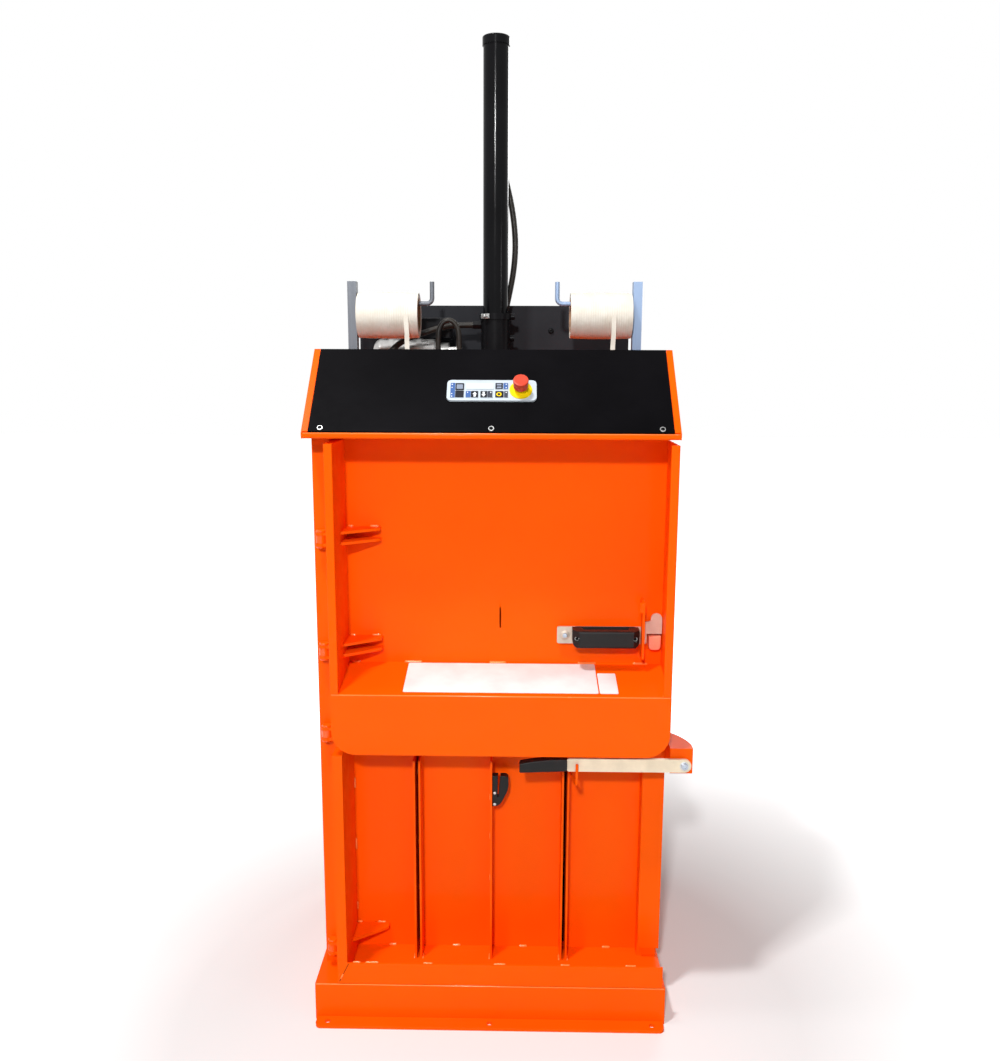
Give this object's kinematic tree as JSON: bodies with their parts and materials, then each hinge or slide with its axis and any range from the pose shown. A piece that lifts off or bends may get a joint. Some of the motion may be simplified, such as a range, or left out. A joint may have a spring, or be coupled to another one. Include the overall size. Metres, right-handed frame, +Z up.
{
  "type": "recycling baler",
  "caption": "Upright recycling baler with side-hung doors, a load shelf, sloped control hood, lock lever, strap rolls and a hydraulic press that slides down into the chamber.",
  "frame": {"origin": "on the floor, below the middle of the chamber's side walls in X; Y 0 is the front of the left door post", "axes": "+Z up, the doors and controls face -Y, +X to the viewer's right"},
  "size_m": [0.95, 0.823, 2.502],
  "materials": {
    "orange_paint": "vivid orange powder coat",
    "chamber_steel": "worn chamber floor",
    "black_cover": "black satin paint",
    "black_steel": "black paint",
    "keypad_face": "pale grey-blue plate",
    "key_film": "membrane keys",
    "signal_yellow": "yellow disc",
    "signal_red": "red push head",
    "zinc_steel": "zinc plated",
    "bracket_steel": "galvanised, bluish grey",
    "strap_white": "white polyester strap",
    "core_card": "plain card core",
    "motor_alloy": "cast alloy",
    "hose_rubber": "black hose",
    "rod_chrome": "hard chrome",
    "beige_steel": "cream-beige steel",
    "grip_black": "black moulded grip"
  },
  "bodies": {
    "frame": {"base_plinth": "orange_paint", "floor_plate": "chamber_steel", "side_wall_left": "orange_paint", "side_wall_right": "orange_paint", "back_wall": "orange_paint", "front_header": "orange_paint", "top_deck": "orange_paint", "hood_cheek_left": "orange_paint", "hood_cheek_right": "orange_paint", "hood_lip": "orange_paint", "control_cover": "black_cover", "keypad_plate": "keypad_face", "keypad_keys": "key_film", "estop_ring": "signal_yellow", "cylinder_foot": "black_steel", "cylinder_tube": "black_steel", "foot_bolts": "zinc_steel", "clamp_ring": "black_steel", "roll_brackets": "bracket_steel", "strap_tails": "strap_white", "motor": "motor_alloy", "terminal_box": "black_steel", "pump_block": "motor_alloy", "oil_tank": "black_steel", "rear_cover": "black_steel", "pressure_hose": "hose_rubber", "side_hose": "hose_rubber", "loop_hose": "hose_rubber", "hose_unions": "black_steel", "hinge_lugs": "orange_paint", "hinge_pins": "orange_paint", "latch_keeper": "orange_paint"},
    "estop": {"estop_button": "signal_red"},
    "left_roll": {"strap_roll_left": "strap_white", "roll_core_left": "core_card"},
    "right_roll": {"strap_roll_right": "strap_white", "roll_core_right": "core_card"},
    "press": {"piston": "zinc_steel", "piston_rod": "rod_chrome", "platen_plate": "orange_paint", "platen_ribs": "orange_paint"},
    "upper_door": {"upper_panel": "orange_paint", "upper_flange_left": "orange_paint", "upper_flange_right": "orange_paint", "shelf_apron": "orange_paint", "latch_guide": "orange_paint", "latch_pivot": "zinc_steel"},
    "upper_latch": {"latch_bar": "beige_steel", "latch_grip": "grip_black"},
    "lower_door": {"lower_panel": "orange_paint", "lower_sill": "orange_paint", "lower_flange_left": "orange_paint", "lower_ribs": "orange_paint", "right_stile": "orange_paint", "strap_hook": "grip_black", "lock_housing": "orange_paint", "lever_bolt": "zinc_steel"},
    "lock_lever": {"lever_bar": "beige_steel", "lever_grip": "grip_black"}
  },
  "joints": [
    {"name": "upper_door_hinge", "type": "hinge", "parent": "frame", "child": "upper_door", "pos_m": [-0.415, -0.02, 1.104], "axis": [0, 0, -1], "range_deg": [0, 110]},
    {"name": "lower_door_hinge", "type": "hinge", "parent": "frame", "child": "lower_door", "pos_m": [-0.415, -0.02, 0.452], "axis": [0, 0, -1], "range_deg": [0, 110]},
    {"name": "press_slide", "type": "slide", "parent": "frame", "child": "press", "axis": [0, 0, -1], "range_m": [0, 0.65]},
    {"name": "estop_push", "type": "slide", "parent": "frame", "child": "estop", "axis": [0, 0.7275, -0.6861], "range_m": [0, 0.004]},
    {"name": "left_roll_spin", "type": "hinge", "parent": "frame", "child": "left_roll", "pos_m": [-0.276, 0.25, 1.792], "axis": [1, 0, 0], "continuous": true},
    {"name": "right_roll_spin", "type": "hinge", "parent": "frame", "child": "right_roll", "pos_m": [0.276, 0.25, 1.792], "axis": [1, 0, 0], "continuous": true},
    {"name": "upper_latch_lift", "type": "hinge", "parent": "upper_door", "child": "upper_latch", "pos_m": [0.186, 0.055, 0.988], "axis": [0, -1, 0], "range_deg": [0, 9]},
    {"name": "lock_lever_lift", "type": "hinge", "parent": "lower_door", "child": "lock_lever", "pos_m": [0.48, -0.066, 0.69], "axis": [0, 1, 0], "range_deg": [0, 18]}
  ]
}
